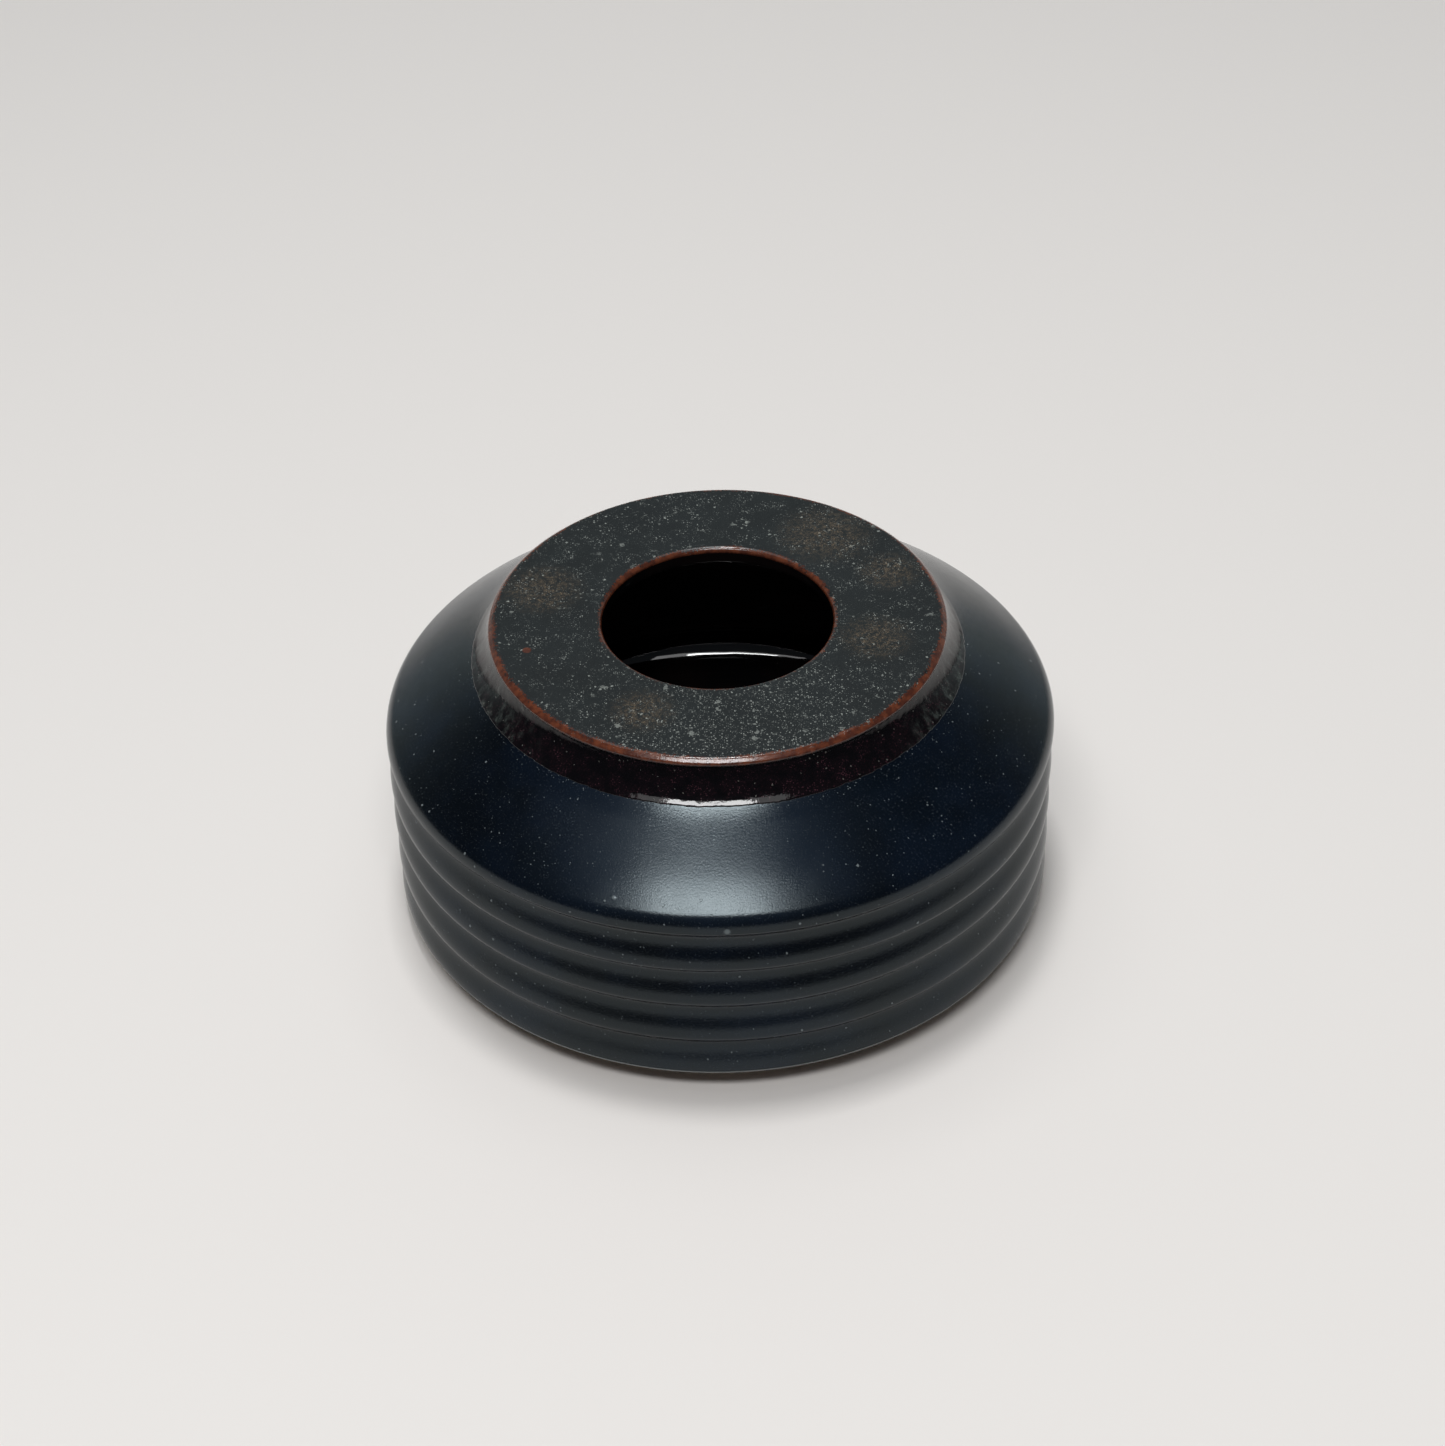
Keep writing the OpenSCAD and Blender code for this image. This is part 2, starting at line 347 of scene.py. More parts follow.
def turned(name, section, segments=SEGMENTS, shift=None):
    """A closed section turned about the axis; shift gives extra (radius, height) by angle."""
    theta = np.linspace(0, 2 * np.pi, segments, endpoint=False)[None, :]
    r = np.repeat(section[:, :1], segments, 1)
    z = np.repeat(section[:, 1:], segments, 1)
    if shift is not None:
        dr, dz = shift(theta)
        r, z = r + dr, z + dz
    r, z = uneven(r, z, theta)
    on_axis = section[:, 0] < TINY
    r[on_axis] = 0
    points = len(section)
    index = np.arange(points * segments).reshape(points, segments)
    index[on_axis] = index[on_axis, :1]
    verts = np.stack([r * np.cos(theta), r * np.sin(theta), z], -1).reshape(-1, 3)
    following = np.roll(index, -1, 0)
    corners = np.stack(
        [index, np.roll(index, -1, 1), np.roll(following, -1, 1), following], -1
    ).reshape(-1, 4)
    faces = []
    for quad in corners.tolist():
        face = list(dict.fromkeys(quad))
        if len(face) > 2:
            faces.append(face)
    used = np.unique([v for f in faces for v in f])
    renumber = np.zeros(len(verts), int)
    renumber[used] = np.arange(len(used))
    faces = [[int(renumber[v]) for v in f] for f in faces]
    return mesh_object(name, verts[used], faces)


def coat(name, face, thickness=GLAZE_T, **more):
    """A glaze coat: its face, and its back that lies thickness deeper."""
    return turned(name, np.concatenate([face, inset(face, thickness)[::-1]]), **more)


# ---- materials ----

# scattered grains: the smallest one as a share of the largest, and how far full bending moves them
SMALLEST_GRAIN = 0.35
GRAIN_BEND = 3


class Shader:
    """A node material whose coordinates are millimetres of the ware."""

    def __init__(self, name):
        self.material = bpy.data.materials.new(name)
        self.material.use_nodes = True
        self.tree = self.material.node_tree
        self.tree.nodes.clear()
        self.surface = self.node("ShaderNodeBsdfPrincipled")
        out = self.node("ShaderNodeOutputMaterial")
        self.tree.links.new(self.surface.outputs["BSDF"], out.inputs["Surface"])
        place = self.node("ShaderNodeTexCoord")
        scale = self.node("ShaderNodeVectorMath", operation="SCALE")
        self.tree.links.new(place.outputs["Object"], scale.inputs[0])
        scale.inputs["Scale"].default_value = 1 / MM
        self.place = scale.outputs["Vector"]

    def node(self, kind, **settings):
        """A new node with the given properties."""
        made = self.tree.nodes.new(kind)
        for key, value in settings.items():
            setattr(made, key, value)
        return made

    def feed(self, socket, value):
        """Links or sets a socket."""
        if isinstance(value, bpy.types.NodeSocket):
            self.tree.links.new(value, socket)
        elif value is not None:
            socket.default_value = value

    def math(self, operation, a, b=None, c=None, clamp=False):
        """A math node's result."""
        made = self.node("ShaderNodeMath", operation=operation, use_clamp=clamp)
        for socket, value in zip(made.inputs, (a, b, c)):
            self.feed(socket, value)
        return made.outputs[0]

    def times(self, a, b):
        """Two masks or values multiplied."""
        return self.math("MULTIPLY", a, b)

    def most(self, *masks):
        """The strongest of several masks."""
        strongest = masks[0]
        for mask in masks[1:]:
            strongest = self.math("MAXIMUM", strongest, mask)
        return strongest

    def swing(self, value, reach):
        """A value from 0 to 1 turned into one from minus half of reach to half of it."""
        return self.times(self.math("SUBTRACT", value, 0.5), reach)

    def noise(self, size, detail=3, rough=0.5, place=None):
        """Noise from 0 to 1 with features of the given size in millimetres."""
        made = self.node("ShaderNodeTexNoise")
        self.feed(made.inputs["Vector"], place or self.place)
        made.inputs["Scale"].default_value = 1 / size
        made.inputs["Detail"].default_value = detail
        made.inputs["Roughness"].default_value = rough
        return made.outputs["Fac"]

    def window(self, value, low_end, high_end, to_low=0.0, to_high=1.0):
        """The value eased from one range into another."""
        made = self.node("ShaderNodeMapRange", interpolation_type="SMOOTHSTEP")
        for socket, v in zip(made.inputs, (value, low_end, high_end, to_low, to_high)):
            self.feed(socket, v)
        return made.outputs["Result"]

    def clouds(self, size, low_end, high_end, detail=3, rough=0.5):
        """Mask of soft clouds: noise of the given size, eased between two of its levels."""
        return self.window(self.noise(size, detail, rough), low_end, high_end)

    def mix(self, amount, a, b):
        """Two colours mixed."""
        made = self.node("ShaderNodeMix", data_type="RGBA")
        self.feed(made.inputs[0], amount)
        self.feed(made.inputs[6], a if isinstance(a, bpy.types.NodeSocket) else (*a, 1))
        self.feed(made.inputs[7], b if isinstance(b, bpy.types.NodeSocket) else (*b, 1))
        return made.outputs[2]

    def grains(self, spacing, share, radius, soft=0.35, bent=0.5):
        """Mask of scattered grains: their spacing and radius in millimetres, and the share kept.

        soft is the share of the radius that fades out, and bent is how misshapen they are.
        """
        warp = self.node("ShaderNodeTexNoise")
        self.feed(warp.inputs["Vector"], self.place)
        warp.inputs["Scale"].default_value = 1 / radius
        shift = self.node("ShaderNodeVectorMath", operation="MULTIPLY_ADD")
        self.feed(shift.inputs[0], warp.outputs["Color"])
        shift.inputs[1].default_value = (GRAIN_BEND * bent * radius,) * 3
        self.feed(shift.inputs[2], self.place)
        cells = self.node("ShaderNodeTexVoronoi")
        self.feed(cells.inputs["Vector"], shift.outputs[0])
        cells.inputs["Scale"].default_value = 1 / spacing
        parts = self.node("ShaderNodeSeparateColor")
        self.feed(parts.inputs[0], cells.outputs["Color"])
        largest = radius / spacing
        size = self.window(parts.outputs[1], 0, 1, SMALLEST_GRAIN * largest, largest)
        near = self.math("SUBTRACT", size, cells.outputs["Distance"])
        spot = self.window(near, 0, soft * largest)
        kept = self.math("LESS_THAN", parts.outputs[0], share)
        return self.times(spot, kept)

    def bump(self, height, depth, previous=None):
        """Normal of a relief, with its full depth in millimetres."""
        made = self.node("ShaderNodeBump")
        made.inputs["Strength"].default_value = 1
        made.inputs["Distance"].default_value = depth * MM
        self.feed(made.inputs["Height"], height)
        if previous is not None:
            self.feed(made.inputs["Normal"], previous)
        return made.outputs["Normal"]

    def radius(self):
        """Distance from the turning axis, in millimetres."""
        flat = self.node("ShaderNodeVectorMath", operation="MULTIPLY")
        self.feed(flat.inputs[0], self.place)
        flat.inputs[1].default_value = (1, 1, 0)
        size = self.node("ShaderNodeVectorMath", operation="LENGTH")
        self.feed(size.inputs[0], flat.outputs[0])
        return size.outputs["Value"]

    def stretched(self, across, upright):
        """Coordinates for noise that is drawn out up and down the ware."""
        made = self.node("ShaderNodeVectorMath", operation="MULTIPLY")
        self.feed(made.inputs[0], self.place)
        made.inputs[1].default_value = (1 / across, 1 / across, 1 / upright)
        return made.outputs[0]

    def along(self, axis):
        """Coordinate along X, Y or Z, in millimetres."""
        parts = self.node("ShaderNodeSeparateXYZ")
        self.feed(parts.inputs[0], self.place)
        return parts.outputs[axis]

    def near(self, centre, reach, core=0.25):
        """Mask of a round patch about a point; core is the share of its reach that is full."""
        gap = self.node("ShaderNodeVectorMath", operation="DISTANCE")
        self.feed(gap.inputs[0], self.place)
        gap.inputs[1].default_value = centre
        return self.window(gap.outputs["Value"], reach, core * reach)

    def finish(self, colour, rough, normal=None, **settings):
        """Sets the surface, and returns the material."""
        self.feed(self.surface.inputs["Base Color"], colour)
        self.feed(self.surface.inputs["Roughness"], rough)
        if normal is not None:
            self.feed(self.surface.inputs["Normal"], normal)
        for key, value in settings.items():
            self.surface.inputs[key.replace("_", " ")].default_value = value
        return self.material


SATIN_DARK = (0.0012, 0.0022, 0.0042)
SATIN_BLUE = (0.0028, 0.0058, 0.0125)
# the next colour is a painted bluish sheen at the front of the shoulder
SATIN_FRONT_SHEEN = (0.0085, 0.014, 0.0235)
SATIN_GRAIN = (0.26, 0.3, 0.31)
# the next colour is a painted reflection of the table along the rounded hem
SATIN_HEM_REFLECTION = (0.16, 0.175, 0.175)
SATIN_TINT = (0.8, 0.93, 0.97, 1)
SATIN_ROUGH = (0.16, 0.19)
SATIN_PIMPLES = ((-18.2, -54.5, 41.2, 0.5), (0.3, -60, 37.9, 0.8))
CRYSTAL_SIZE = 0.3
CRYSTAL_RELIEF = 0.022
PIMPLE_RELIEF = 0.04

# painted sheen: bluer colour at the front of the shoulder, round the lamp's highlight, which fades
# in above the widest edge
FRONT_SHEEN_PLACE = (-4, -48, 46)
FRONT_SHEEN_REACH = 36
FRONT_SHEEN_FADE = 5

# smoother satin glaze close under the neck, as a share of its roughness elsewhere
SMOOTH_FROM_R = 47
SMOOTH_TO_R = 45.5
SMOOTH_SHARE = 0.7


def satin_glaze(name):
    """Blue-black satin glaze: crystals, sparse pale grains, two pimples, painted sheen at the front
    of the shoulder and a pale line of painted reflection at its hem.

    Grains gather where it meets the gloss glaze of the neck.
    """
    s = Shader(name)
    height = s.along("Z")
    colour = s.mix(s.clouds(16, 0.35, 0.7, detail=4), SATIN_DARK, SATIN_BLUE)
    # painted sheen: bluer colour round the lamp's highlight at the front of the shoulder
    above_edge = s.window(height, edge_h, edge_h + FRONT_SHEEN_FADE)
    colour = s.mix(s.times(s.near(FRONT_SHEEN_PLACE, FRONT_SHEEN_REACH), above_edge), colour, SATIN_FRONT_SHEEN)
    crystals = s.noise(CRYSTAL_SIZE, detail=2, rough=0.75)
    colour = s.mix(s.window(crystals, 0.58, 0.85, 0, 0.17), colour, SATIN_GRAIN)
    grains = s.grains(spacing=2, share=0.4, radius=0.27)
    dust = s.times(s.grains(spacing=0.75, share=0.4, radius=0.14), s.clouds(5, 0.35, 0.6))
    at_neck = s.window(s.radius(), NECK_ROOT_R + 0.6, NECK_ROOT_R - 0.2)
    crumbs = s.times(s.grains(spacing=0.42, share=0.4, radius=0.12), at_neck)
    pimples = s.most(*[s.near((x, y, z), reach) for x, y, z, reach in SATIN_PIMPLES])
    pale = s.times(s.most(grains, dust, crumbs), 0.5)
    colour = s.mix(s.most(pale, s.times(pimples, 0.4)), colour, SATIN_GRAIN)
    # painted reflection: a pale line on the lower part of the hem
    colour = s.mix(s.window(height, CRESTS[0] - 0.02, CRESTS[0] - 0.12), colour, SATIN_HEM_REFLECTION)
    rough = s.window(s.noise(5), 0.3, 0.7, *SATIN_ROUGH)
    rough = s.times(rough, s.window(s.radius(), SMOOTH_FROM_R, SMOOTH_TO_R, 1, SMOOTH_SHARE))
    normal = s.bump(crystals, CRYSTAL_RELIEF)
    normal = s.bump(s.math("ADD", grains, pimples), PIMPLE_RELIEF, normal)
    return s.finish(colour, rough, normal, IOR=1.45, Specular_Tint=SATIN_TINT)


NECK_DARK = (0.002, 0.0015, 0.0022)
NECK_PLUM = (0.052, 0.018, 0.026)
NECK_GRAIN = (0.15, 0.15, 0.13)
# the next two give a painted reflection: its colour, and the band across X where it lies on the
# neck's sides
NECK_SIDE_SHEEN = (0.1, 0.12, 0.11)
NECK_SHEEN_SIDES = (29, 39)
NECK_ROUGH = (0.06, 0.2)
NECK_RELIEF = 0.035
NECK_GRAIN_RELIEF = 0.03


def neck_glaze(name):
    """Gloss black glaze full of plum grains, with a few grey ones and pale streaks of painted
    reflection at both sides.
    """
    s = Shader(name)
    clump = s.clouds(2.6, 0.38, 0.64, detail=4, rough=0.65)
    plum = s.times(s.grains(spacing=0.27, share=0.7, radius=0.13), clump)
    colour = s.mix(s.times(clump, 0.05), NECK_DARK, NECK_PLUM)
    colour = s.mix(s.times(plum, 0.8), colour, NECK_PLUM)
    # painted reflection: pale vertical streaks only on the left and right sides of the neck
    sheen_streaks = s.window(s.noise(1, 4, 0.65, s.stretched(across=1.8, upright=6)), 0.46, 0.7)
    sheen_sides = s.window(s.math("ABSOLUTE", s.along("X")), *NECK_SHEEN_SIDES)
    colour = s.mix(s.times(s.times(sheen_streaks, sheen_sides), 0.35), colour, NECK_SIDE_SHEEN)
    small = s.grains(spacing=0.7, share=0.22, radius=0.17)
    large = s.grains(spacing=2.4, share=0.25, radius=0.45)
    grains = s.most(small, large)
    colour = s.mix(s.times(grains, 0.45), colour, NECK_GRAIN)
    rough = s.window(s.most(plum, grains), 0, 1, *NECK_ROUGH)
    normal = s.bump(s.noise(1.3), NECK_RELIEF)
    return s.finish(colour, rough, s.bump(grains, NECK_GRAIN_RELIEF, normal), IOR=1.5)


PLATE_DARK = (0.002, 0.0038, 0.0048)
PLATE_GREY = (0.0042, 0.0067, 0.0079)
PLATE_GRAIN = (0.32, 0.345, 0.32)
PLATE_OCHRE = (0.24, 0.17, 0.1)
PLATE_ROUGH = 0.36
PLATE_CRYSTAL_RELIEF = 0.02
PLATE_WAVE_RELIEF = 0.04
RUST = (0.13, 0.038, 0.018)
RUST_DARK = (0.06, 0.018, 0.011)
RUST_ROUGH = 0.12
RUST_FADE_H = 0.75
RUST_WANDER = 1.6
RUST_RAGGED = 3.4

# places on the plate, as x, y and reach
OCHRE_PATCHES = ((27.5, -7.5, 8), (-13, -26.5, 7), (-31, 9, 9), (20, 24, 11), (31, 12, 7))
FRONT_SHOAL = (4, -34, 36)
RUST_PINHOLE = (-33.2, -8.8, 0.95)


def plate_grains(s, thick):
    """Pale grains of the plate in four sizes, dust to blots, most where the glaze is thick."""
    dust = s.times(s.grains(0.23, 0.4, 0.1, soft=0.2), s.window(thick, 0.4, 0.66))
    fine = s.times(s.grains(0.36, 0.42, 0.15, soft=0.2), s.window(thick, 0.44, 0.66))
    middle = s.times(s.grains(1, 0.32, 0.28, soft=0.2, bent=0.7), s.clouds(5, 0.4, 0.6))
    blots = s.times(s.grains(2.1, 0.35, 0.6, soft=0.12, bent=0.9), s.window(thick, 0.46, 0.62))
    return s.most(
        s.times(dust, 0.48), s.times(fine, 0.9), s.times(middle, 0.7), s.times(blots, 0.45)
    )


def plate_glaze(name):
    """Charcoal glaze of the plate: crystals, ochre clouds, and rust where it thins over an edge."""
    s = Shader(name)
    colour = s.mix(s.clouds(9, 0.35, 0.65, detail=4), PLATE_DARK, PLATE_GREY)
    patches = 0.0
    for x, y, reach in OCHRE_PATCHES:
        patches = s.math("ADD", patches, s.near((x, y, top_h), reach))
    broken = s.clouds(1, 0.42, 0.7, detail=5, rough=0.8)
    patches = s.math("MULTIPLY", patches, broken, clamp=True)
    haze = s.times(patches, s.clouds(0.25, 0.38, 0.62, rough=0.75))
    colour = s.mix(s.times(haze, 0.6), colour, PLATE_OCHRE)
    x, y, reach = FRONT_SHOAL
    shoal = s.near((x, y, top_h), reach, core=0.1)
    thick = s.math("ADD", s.noise(3.2, 4, 0.7), s.times(shoal, 0.14))
    pale = plate_grains(s, thick)
    colour = s.mix(pale, colour, s.mix(patches, PLATE_GRAIN, PLATE_OCHRE))

    # rust, inside ragged bounds at both edges and in one pinhole, and black on the nose's underside
    wander = s.swing(s.noise(4), RUST_WANDER)
    ragged = s.math("ADD", wander, s.swing(s.noise(0.5, 4, 0.8), RUST_RAGGED))
    place = s.math("ADD", s.radius(), ragged)
    outer = s.window(place, speckle_r + 0.15, speckle_r + 0.35)
    inner = s.window(place, mouth_break_r - 0.5, mouth_break_r - 0.7)
    x, y, reach = RUST_PINHOLE
    rust = s.most(outer, inner, s.near((x, y, top_h), reach, core=0.6))
    rust_colour = s.mix(s.clouds(1.6, 0.35, 0.65, detail=4), RUST_DARK, RUST)
    under = s.math("ADD", s.along("Z"), s.times(ragged, 0.35))
    below = s.window(under, neck_top_h + RUST_FADE_H, neck_top_h)
    rust_colour = s.mix(below, rust_colour, NECK_DARK)
    colour = s.mix(rust, colour, rust_colour)
    rough = s.mix(rust, (PLATE_ROUGH,) * 3, (RUST_ROUGH,) * 3)
    relief = s.math("ADD", s.noise(0.35, 2, 0.7), s.times(pale, 0.8))
    normal = s.bump(s.noise(3, 2), PLATE_WAVE_RELIEF, s.bump(relief, PLATE_CRYSTAL_RELIEF))
    return s.finish(colour, rough, normal, IOR=1.5)


LINER_BLACK = (0.003, 0.003, 0.0035)
LINER_BROWN = (0.007, 0.005, 0.005)
LINER_ROUGH = (0.03, 0.06)
LINER_RELIEF = 0.05
LINER_PIT_RELIEF = -0.05


def liner_glaze(name):
    """Gloss black glaze of the inside, with a few pinholes."""
    s = Shader(name)
    colour = s.mix(s.clouds(12, 0.4, 0.6), LINER_BLACK, LINER_BROWN)
    pits = s.grains(spacing=4, share=0.3, radius=0.3)
    rough = s.window(s.noise(6), 0.3, 0.7, *LINER_ROUGH)
    normal = s.bump(pits, LINER_PIT_RELIEF, s.bump(s.noise(7, detail=2), LINER_RELIEF))
    return s.finish(colour, rough, normal, IOR=1.85)


CLAY_BUFF = (0.24, 0.185, 0.14)
CLAY_BROWN = (0.15, 0.11, 0.082)
CLAY_IRON = (0.05, 0.03, 0.022)
CLAY_ROUGH = (0.75, 0.95)
CLAY_RELIEF = 0.05
CLAY_RING_TURN = 9
BARE_BROWN = 0.2
COVERED_BROWN = 0.6


def clay(name, brown):
    """Unglazed stoneware: a sandy body with iron specks and fine turning lines.

    brown is the share of the browner tone, from 0 to 1.
    """
    s = Shader(name)
    body = s.mix(s.clouds(10, 0.3, 0.7, detail=5), CLAY_BUFF, CLAY_BROWN)
    body = s.mix(brown, body, CLAY_BROWN)
    sand = s.noise(0.35, rough=0.7)
    body = s.mix(s.window(sand, 0.55, 0.8, 0, 0.4), body, CLAY_BUFF)
    iron = s.grains(spacing=1.8, share=0.3, radius=0.25)
    body = s.mix(s.times(iron, 0.8), body, CLAY_IRON)
    rings = s.math("SINE", s.times(s.radius(), CLAY_RING_TURN))
    relief = s.math("ADD", sand, s.times(rings, 0.15))
    return s.finish(body, s.window(sand, 0.2, 0.8, *CLAY_ROUGH), s.bump(relief, CLAY_RELIEF))


# ---- pieces ----


def finished(piece, node, material):
    """Gives a piece its material, hangs it on the root body, and hides the CAD node that it stands
    in for.
    """
    piece.data.materials.append(material)
    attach(piece, "root")
    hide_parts(node)
    return piece


def wall_coat():
    """Satin glaze of the rolls, with its rounded hem."""
    hem = arc((body_r - HEM_ROUND, CRESTS[0]), HEM_ROUND, -90, 0, HEM_STEP)
    return coat("wall_glaze", join(hem, wall_path()))


def shoulder_coat():
    """Satin glaze of the shoulder, which runs on a little way under the gloss glaze."""
    under_line = between(neck_path(), z1=glaze_line_h + LINE_LAP)
    return coat("shoulder_glaze", join(shoulder_path(), under_line))


def ragged_line(theta):
    """How far the gloss glaze runs above or below its line, round the neck."""
    rng = np.random.default_rng(RAGGED_SEED)
    shape = np.zeros_like(theta)
    for turns in range(*RAGGED_TURNS):
        size = rng.normal() / (turns + RAGGED_KNEE) ** RAGGED_FALL
        shape += size * np.sin(turns * theta + rng.uniform(0, 2 * np.pi))
    return RAGGED_HEIGHT * shape


def neck_coat():
    """Gloss glaze that stops in a thick, ragged bead on the neck."""
    neck = neck_path()
    neck = neck[neck[:, 1] > glaze_line_h - LINE_DROP]
    tangent = (neck[1] - neck[0]) / np.linalg.norm(neck[1] - neck[0])
    foot = neck[0] - tangent * (BEAD_REACH - np.array(BEAD_AT)[:, None])
    nose = nose_path()
    nose = nose[nose[:, 1] <= neck_top_h + SEAM_SLACK]
    face = join(foot, neck, nose)
    lift = np.full(len(face), NECK_LIFT)
    lift[: len(BEAD_LIFT)] = BEAD_LIFT
    lift[-LIFT_FADE:] = np.linspace(NECK_LIFT, 0, LIFT_FADE)
    face = inset(face, -lift[:, None])
    weight = np.clip(1 - np.linalg.norm(face - face[0], axis=1) / RAGGED_REACH, 0, 1)
    weight = np.concatenate([weight, weight[::-1]])[:, None]

    def shift(theta):
        rise = weight * ragged_line(theta)
        return rise * tangent[0], rise * tangent[1]

    return coat("neck_glaze", face, segments=2 * SEGMENTS, shift=shift)


def rim_coats():
    """Speckled glaze of the plate, and its rust edges."""
    nose = nose_path()
    nose = nose[nose[:, 1] >= neck_top_h - SEAM_SLACK]
    edge = join(nose, line(nose[-1], (speckle_r, top_h)))
    top = line((speckle_r, top_h), (mouth_break_r, top_h))
    mouth = join(line((mouth_break_r, top_h), (mouth_r + LIP_R, top_h)), lip_path())
    return coat("edge_glaze", edge), coat("plate_top_glaze", top), coat("mouth_glaze", mouth)


def liner_coat():
    """Gloss glaze of the inside."""
    return coat("inside_glaze", inner_path(), segments=CLAY_SEGMENTS)


def turning_marks(path):
    """Shallow rings that the turning tool leaves on the underside."""
    ring = np.sin(path[:, 0] * 2 * np.pi / TURNING_PITCH)
    return np.stack([path[:, 0], path[:, 1] + TURNING_DEPTH * ring], 1)


def foot():
    """Ring that the pot stands on, let a little way into the base."""
    inside = foot_r - FOOT_W
    tenon_h = SKIRT_H + FOOT_TENON
    section = join(
        line((FOOT_IN_R, recess_h), (inside, FOOT_EDGE_R)),
        arc((inside + FOOT_EDGE_R, FOOT_EDGE_R), FOOT_EDGE_R, 180, 270, FINE_STEP),
        arc((foot_r - FOOT_EDGE_R, FOOT_EDGE_R), FOOT_EDGE_R, -90, 0, FINE_STEP),
        line((foot_r, FOOT_EDGE_R), (foot_r, tenon_h)),
        line((foot_r, tenon_h), (FOOT_IN_R, tenon_h)),
    )
    return turned("foot", section, CLAY_SEGMENTS)


def base():
    """Floor of the pot, with the filleted corner inside and turning marks underneath."""
    recess_r = FOOT_IN_R - 2 * SEAM_GAP
    inside = between(clay_inside(), z1=FLOOR_H + BASE_RISE, r1=BASE_SEAM_R - 2 * SEAM_GAP)
    section = join(
        turning_marks(line((0, recess_h), (recess_r, recess_h))),
        line((recess_r, recess_h), (FOOT_IN_R, SKIRT_H)),
        line((foot_r, SKIRT_H), (BASE_SEAM_R - SEAM_GAP, SKIRT_SEAM_H)),
        inside,
    )
    return turned("base", section, CLAY_SEGMENTS)


def wall():
    """Drum wall behind the rolls, from the base's edge to the shoulder."""
    hem = (body_r - HEM_ROUND - HEM_SETBACK, CRESTS[0] - HEM_ROUND + SEAM_GAP)
    section = join(
        turning_marks(line((BASE_SEAM_R, SKIRT_SEAM_H), hem)),
        between(inset(wall_path(), GLAZE_T), z1=wall_seam_h),
        between(clay_inside(), z1=wall_seam_h, r0=BASE_SEAM_R),
    )
    return turned("wall", section, CLAY_SEGMENTS)


def shoulder():
    """Sloping member between the wall and the neck."""
    section = join(
        between(inset(wall_path(), GLAZE_T), z0=wall_seam_h),
        inset(shoulder_path(), GLAZE_T),
        between(clay_inside(), z0=wall_seam_h, z1=SHOULDER_TOP_H, r0=SHOULDER_IN_R),
    )
    return turned("shoulder", section, CLAY_SEGMENTS)


def neck():
    """Collar under the plate."""
    under_plate = top_h - PLATE_T - BORE_CORNER_R
    inside = between(clay_inside(), z0=NECK_SEAM_H, z1=under_plate, r0=NECK_BORE_R)
    return turned("neck", join(inset(neck_path(), GLAZE_T), inside), CLAY_SEGMENTS)


def plate():
    """Top plate with the mouth in it."""
    nose = inset(nose_path(), GLAZE_T)
    section = join(
        nose,
        line(nose[-1], (mouth_r + LIP_R, top_h - GLAZE_T), FLAT_STEP),
        inset(lip_path(), GLAZE_T),
        between(clay_inside(), z0=top_h - PLATE_T - 2 * SEAM_GAP, r1=NECK_BORE_R),
    )
    return turned("plate", section, CLAY_SEGMENTS)


def build_pieces():
    """All thirteen pieces, each in place of its CAD node."""
    satin = satin_glaze("satin_glaze")
    bare = clay("bare_clay", BARE_BROWN)
    covered = clay("covered_clay", COVERED_BROWN)
    edge, top, mouth = rim_coats()
    finished(wall_coat(), "satin_glaze_wall", satin)
    finished(shoulder_coat(), "satin_glaze_shoulder", satin)
    finished(neck_coat(), "gloss_glaze_neck", neck_glaze("neck_gloss"))
    finished(edge, "rim_edge_break", plate_glaze("edge_break"))
    finished(top, "speckled_glaze_rim", plate_glaze("plate_speckle"))
    finished(mouth, "mouth_edge_break", plate_glaze("mouth_break"))
    finished(liner_coat(), "gloss_glaze_liner", liner_glaze("liner_gloss"))
    finished(foot(), "foot_ring", bare)
    finished(base(), "base_disc", bare)
    finished(wall(), "ribbed_wall", bare)
    finished(shoulder(), "shoulder_ring", covered)
    finished(neck(), "neck_collar", covered)
    finished(plate(), "rim_plate", covered)


# ---- stage, light and camera ----

TABLE_SIZE = 6.0
TABLE_COLOUR = (0.8, 0.77, 0.745)
TABLE_ROUGH = 0.75
LAMP_AIM = Vector((0, 0, 0.045))
LAMP_PLACE = Vector((-0.075, -0.603, 1.079))
LAMP_SIZE = (0.56, 0.22)
LAMP_POWER = 6
PANEL_PLACE = Vector((-0.08, -0.7, 1.17))
PANEL_SIZE = (1.15, 0.28)
PANEL_POWER = 1.35
OVERHEAD_PLACE = Vector((-0.045, 0.14, 1.6))
OVERHEAD_SIZE = (0.28, 0.28)
OVERHEAD_POWER = 9.6
SKY_PLACE = Vector((-0.15, 0.25, 1.5))
SKY_SIZE = (1.5, 1.1)
SKY_POWER = 4.8
ROOM_DARK = (0.035, 0.04, 0.045, 1)
ROOM_HORIZON = (0.4, 0.46, 0.46, 1)
ROOM_FALL = (0, 1, -0.5)
CAMERA_LENS = 69.3
CAMERA_SENSOR = 36
CAMERA_CLIP = 0.01
CAMERA_DISTANCE = 502.5
CAMERA_HEIGHT_ANGLE = math.radians(38.36)
CAMERA_TURN = (math.radians(0.32), math.radians(0.05), math.radians(1.44))


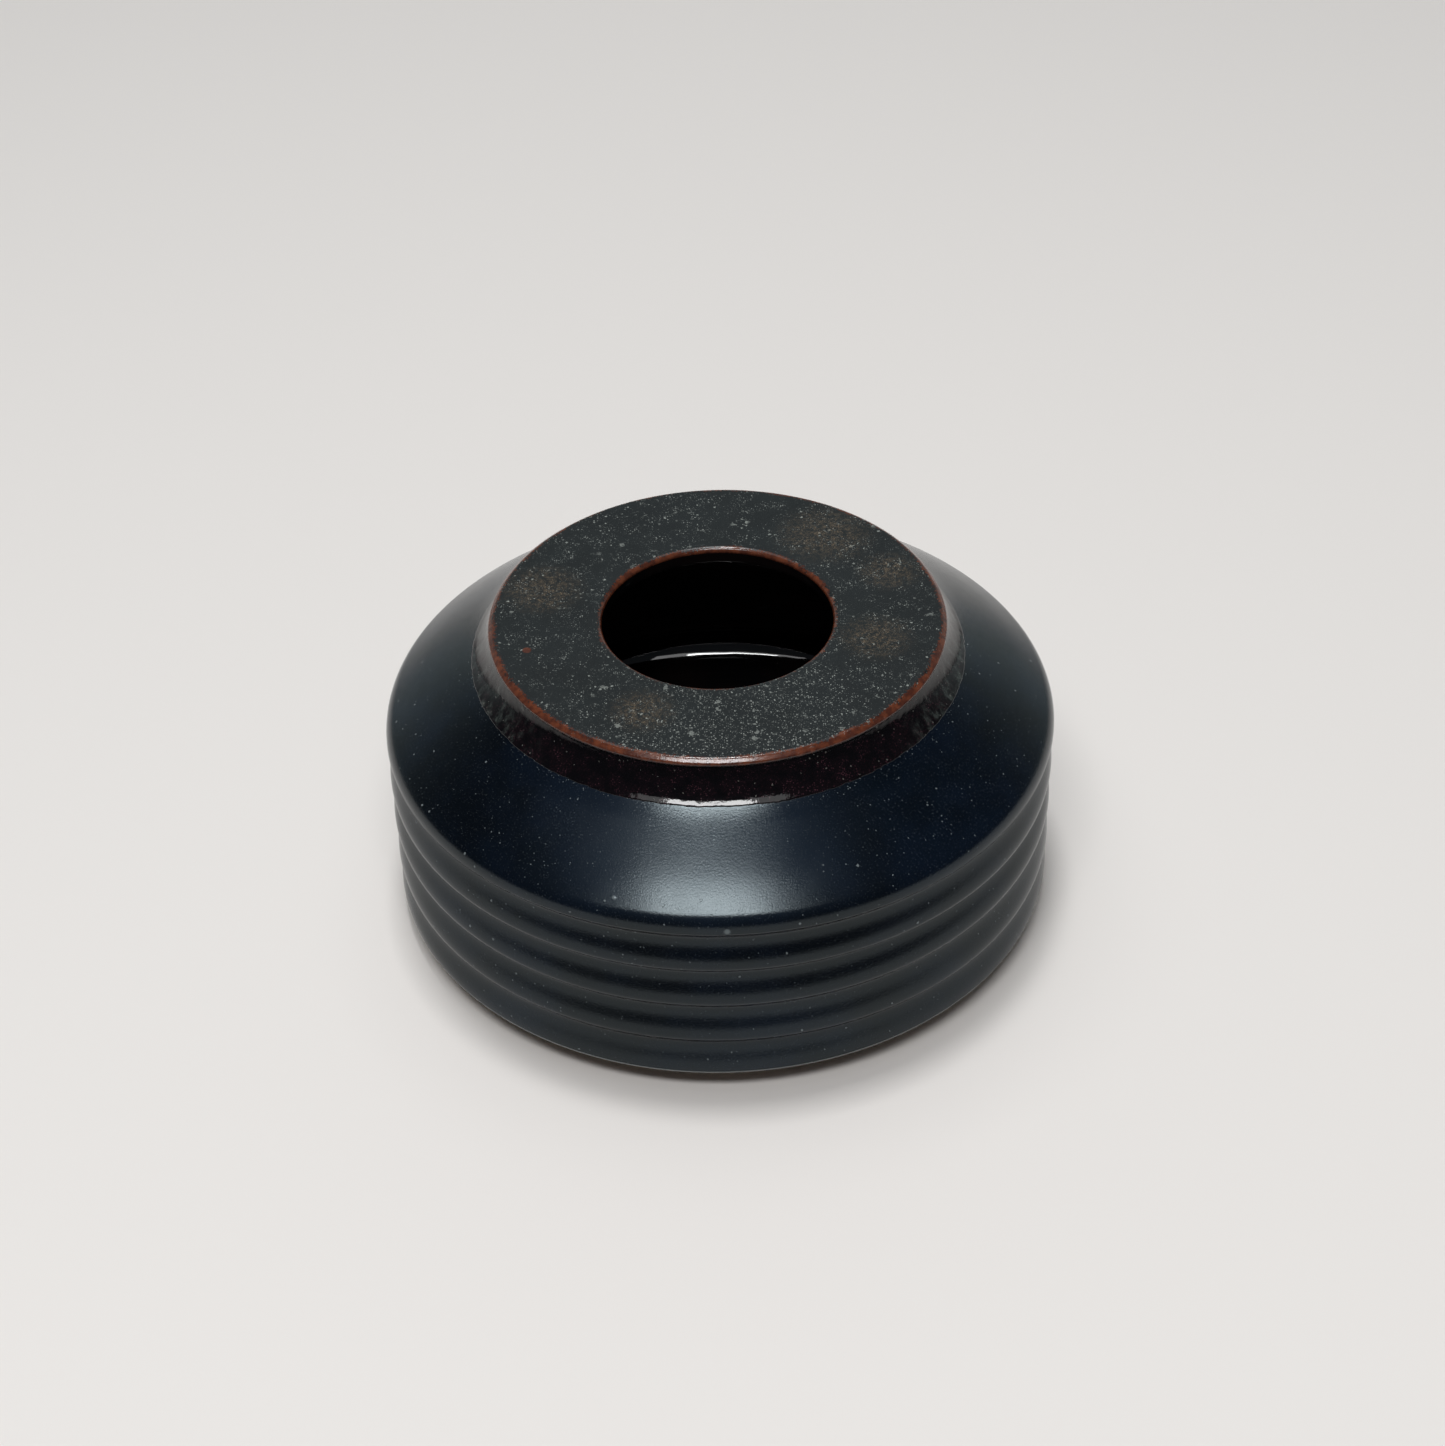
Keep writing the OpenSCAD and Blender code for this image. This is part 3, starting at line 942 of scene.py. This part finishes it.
def build_table():
    """Plain pale table top."""
    half = TABLE_SIZE / 2
    mesh = bpy.data.meshes.new("table")
    corners = [(-half, -half, 0), (half, -half, 0), (half, half, 0), (-half, half, 0)]
    mesh.from_pydata(corners, [], [(0, 1, 2, 3)])
    table = bpy.data.objects.new("table", mesh)
    bpy.context.scene.collection.objects.link(table)
    material = bpy.data.materials.new("table_top")
    material.use_nodes = True
    surface = material.node_tree.nodes["Principled BSDF"]
    surface.inputs["Base Color"].default_value = (*TABLE_COLOUR, 1)
    surface.inputs["Roughness"].default_value = TABLE_ROUGH
    mesh.materials.append(material)


def build_lamp(name, place, size, power):
    """A soft rectangular light that faces the vessel."""
    data = bpy.data.lights.new(name, "AREA")
    data.shape = "RECTANGLE"
    data.size, data.size_y = size
    data.energy = power
    lamp = bpy.data.objects.new(name, data)
    lamp.location = place
    lamp.rotation_euler = (LAMP_AIM - place).to_track_quat("-Z", "Y").to_euler()
    bpy.context.scene.collection.objects.link(lamp)


def build_light():
    """A lamp and a panel over the viewer, two lights overhead, and a room lighter at the back."""
    build_lamp("lamp", LAMP_PLACE, LAMP_SIZE, LAMP_POWER)
    build_lamp("panel", PANEL_PLACE, PANEL_SIZE, PANEL_POWER)
    build_lamp("overhead", OVERHEAD_PLACE, OVERHEAD_SIZE, OVERHEAD_POWER)
    build_lamp("sky", SKY_PLACE, SKY_SIZE, SKY_POWER)
    world = bpy.data.worlds.new("room")
    bpy.context.scene.world = world
    world.use_nodes = True
    tree = world.node_tree
    place = tree.nodes.new("ShaderNodeTexCoord")
    fall = tree.nodes.new("ShaderNodeVectorMath")
    fall.operation = "DOT_PRODUCT"
    fall.inputs[1].default_value = ROOM_FALL
    ramp = tree.nodes.new("ShaderNodeValToRGB")
    tree.links.new(place.outputs["Generated"], fall.inputs[0])
    tree.links.new(fall.outputs["Value"], ramp.inputs["Fac"])
    tree.links.new(ramp.outputs["Color"], tree.nodes["Background"].inputs["Color"])
    ramp.color_ramp.interpolation = "EASE"
    ramp.color_ramp.elements[0].color = ROOM_DARK
    ramp.color_ramp.elements[1].color = ROOM_HORIZON


def build_camera():
    """Camera in front of the vessel, looking down at its widest edge."""
    rise = CAMERA_HEIGHT_ANGLE
    back = Vector((0, -math.cos(rise), math.sin(rise)))
    right = Vector((1, 0, 0))
    aim = Matrix((right, back.cross(right), back))
    pitch, yaw, roll = CAMERA_TURN
    turn = Matrix.Identity(3)
    for part in ((0, 0, roll), (pitch, 0, 0), (0, yaw, 0)):
        turn = turn @ Euler(part).to_matrix()
    place = (turn @ aim).transposed().to_4x4()
    place.translation = (back * CAMERA_DISTANCE + Vector((0, 0, edge_h))) * MM
    data = bpy.data.cameras.new("camera")
    data.sensor_width = CAMERA_SENSOR
    data.lens = CAMERA_LENS
    data.clip_start = CAMERA_CLIP
    camera = bpy.data.objects.new("camera", data)
    camera.matrix_world = place
    bpy.context.scene.collection.objects.link(camera)
    bpy.context.scene.camera = camera


bpy.context.scene.view_settings.view_transform = "Standard"
build_pieces()
build_table()
build_light()
build_camera()
